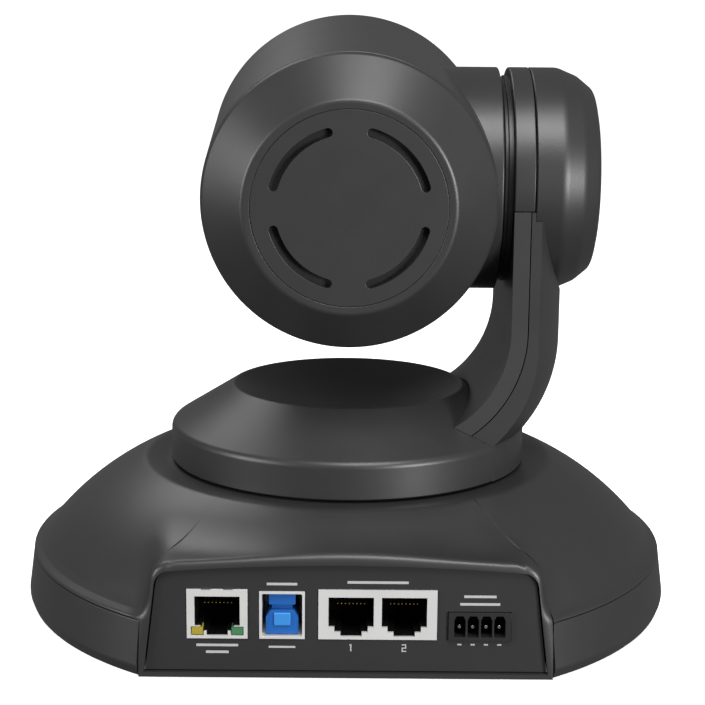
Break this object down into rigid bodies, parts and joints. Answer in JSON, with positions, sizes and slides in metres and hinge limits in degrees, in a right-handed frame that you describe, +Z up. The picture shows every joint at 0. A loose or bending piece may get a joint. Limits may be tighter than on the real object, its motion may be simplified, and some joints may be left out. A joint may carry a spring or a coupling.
{
  "type": "pan and tilt camera",
  "caption": "Desktop pan and tilt camera: round domed base with rear sockets, dished turntable, single side arm with hub, and a drum-shaped head with a vented rear cap.",
  "frame": {"origin": "where the pan axis meets the plane that the rubber feet stand on", "axes": "+Z up along the pan axis; the lens looks along -Y, the sockets face +Y, the arm is on the -X side"},
  "size_m": [0.191, 0.1734, 0.1711],
  "materials": {
    "housing": "fine textured dark charcoal",
    "plate_steel": "zinc plated sheet",
    "bright_steel": "turned",
    "rubber": "matt",
    "brass": "machined",
    "light_window": "frosted",
    "dark_window": "dark tinted, glossy",
    "circuit_board": "solder resist",
    "heat_sink": "anodised",
    "socket_metal": "tinned sheet",
    "gold_contacts": "gold plated",
    "indicator": "clear tinted",
    "blue_plastic": "moulded",
    "black_plastic": "moulded",
    "pin_metal": "tinned",
    "white_plastic": "acetal",
    "motor_case": "dark case",
    "front_glass": "coated",
    "lens_glass": "coated lens in a ring"
  },
  "bodies": {
    "base": {"base_plate": "plate_steel", "rubber_feet": "rubber", "base_screws": "bright_steel", "tripod_insert": "brass", "base_band": "housing", "dome_cover": "housing", "status_light": "light_window", "remote_window": "dark_window", "rear_panel": "housing", "main_board": "circuit_board", "board_posts": "plate_steel", "board_screws": "bright_steel", "heat_sink": "heat_sink", "network_socket": "socket_metal", "network_contacts": "gold_contacts", "network_lights": "indicator", "usb_shell": "socket_metal", "usb_tongue": "blue_plastic", "twin_socket": "socket_metal", "twin_contacts": "gold_contacts", "terminal_header": "black_plastic", "terminal_pins": "pin_metal", "pan_deck": "plate_steel", "deck_posts": "plate_steel", "pan_bush": "white_plastic", "thrust_washer": "white_plastic", "pan_motor": "motor_case"},
    "pan_drive": {"pan_motor_shaft": "bright_steel", "pan_pinion": "brass"},
    "turntable": {"pan_spindle": "bright_steel", "pan_gear": "white_plastic", "spindle_clip": "bright_steel", "turntable_plate": "plate_steel", "turntable_cover": "housing", "arm_bracket": "plate_steel", "arm_screws": "bright_steel", "arm_inner_cover": "housing", "arm_outer_cover": "housing", "hub_band": "housing", "hub_cover": "housing", "neck_collar": "black_plastic", "tilt_bush": "white_plastic", "tilt_motor": "motor_case"},
    "tilt_drive": {"tilt_motor_shaft": "bright_steel", "tilt_pinion": "brass"},
    "head": {"tilt_shaft": "bright_steel", "tilt_gear": "white_plastic", "tilt_clip": "bright_steel", "head_shell": "housing", "rear_cap": "housing", "vent_disc": "housing", "dust_filter": "black_plastic", "front_bezel": "black_plastic", "front_glass": "front_glass", "lens_barrel": "black_plastic", "camera_block": "motor_case", "head_frame": "plate_steel", "guide_rods": "bright_steel"},
    "zoom_lens": {"zoom_group": "lens_glass"},
    "focus_lens": {"focus_group": "lens_glass"}
  },
  "joints": [
    {"name": "pan", "type": "hinge", "parent": "base", "child": "turntable", "pos_m": [0, 0, 0.0012], "axis": [0, 0, 1], "range_deg": [-155, 155]},
    {"name": "pan_pinion_turn", "type": "hinge", "parent": "base", "child": "pan_drive", "pos_m": [0, -0.036, 0.0012], "axis": [0, 0, 1], "range_deg": [-780, 780]},
    {"name": "tilt", "type": "hinge", "parent": "turntable", "child": "head", "pos_m": [0, 0, 0.1252], "axis": [-1, 0, 0], "range_deg": [-32.5, 87.5]},
    {"name": "tilt_pinion_turn", "type": "hinge", "parent": "turntable", "child": "tilt_drive", "pos_m": [0, 0, 0.1044], "axis": [-1, 0, 0], "range_deg": [-295, 112]},
    {"name": "zoom", "type": "slide", "parent": "head", "child": "zoom_lens", "axis": [0, 0.999, -0.0436], "range_m": [0, 0.012]},
    {"name": "focus", "type": "slide", "parent": "head", "child": "focus_lens", "axis": [0, 0.999, -0.0436], "range_m": [-0.002, 0.002]}
  ],
  "couplings": [
    {"joint": "pan_pinion_turn", "follows": "pan", "ratio": -5},
    {"joint": "tilt_pinion_turn", "follows": "tilt", "ratio": -3.3333}
  ]
}
